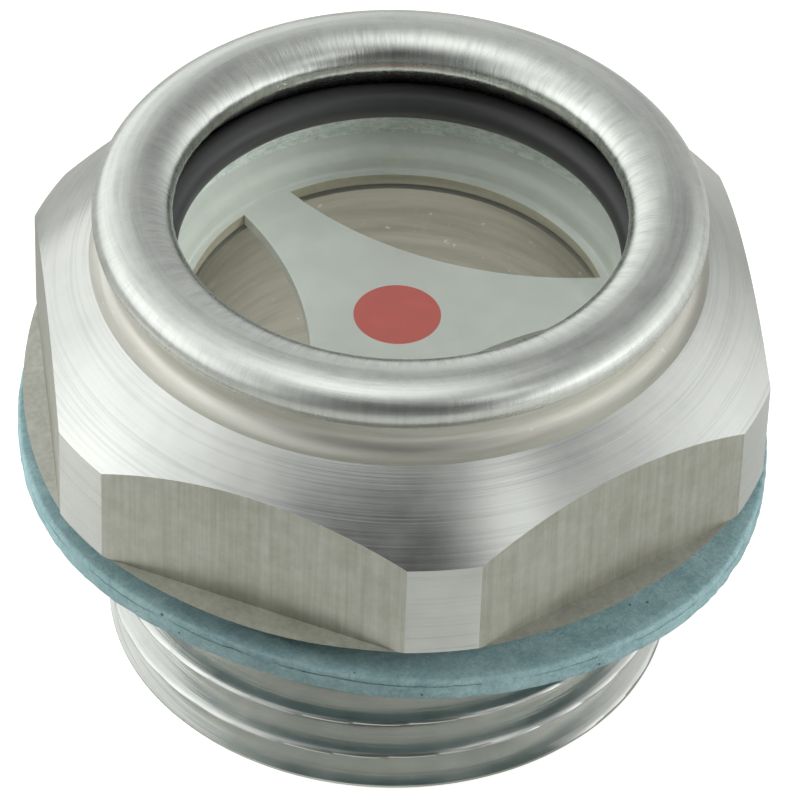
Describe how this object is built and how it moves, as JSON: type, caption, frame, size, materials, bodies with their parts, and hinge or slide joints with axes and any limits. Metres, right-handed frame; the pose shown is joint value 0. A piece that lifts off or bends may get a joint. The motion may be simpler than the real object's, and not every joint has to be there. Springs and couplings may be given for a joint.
{
  "type": "tank level gauge",
  "caption": "Screw-in oil level sight glass: aluminium hexagon body with a rolled rim, glass, reflector cup with bowed windows, O-ring and fibre gasket.",
  "frame": {"origin": "centre of the threaded spigot's end face, on the body's axis; the part stands on this face", "axes": "+Z along the body's axis, from the spigot's end to the rolled rim; one corner of the hexagon points to -Y"},
  "size_m": [0.0218, 0.022, 0.0155],
  "materials": {
    "aluminium": "satin",
    "white_enamel": "satin",
    "glass": "polished",
    "black_rubber": "satin",
    "fibre": "matte"
  },
  "bodies": {
    "root": {"body": "aluminium", "reflector": "white_enamel", "glass": "glass", "o_ring": "black_rubber", "gasket": "fibre"}
  },
  "joints": []
}
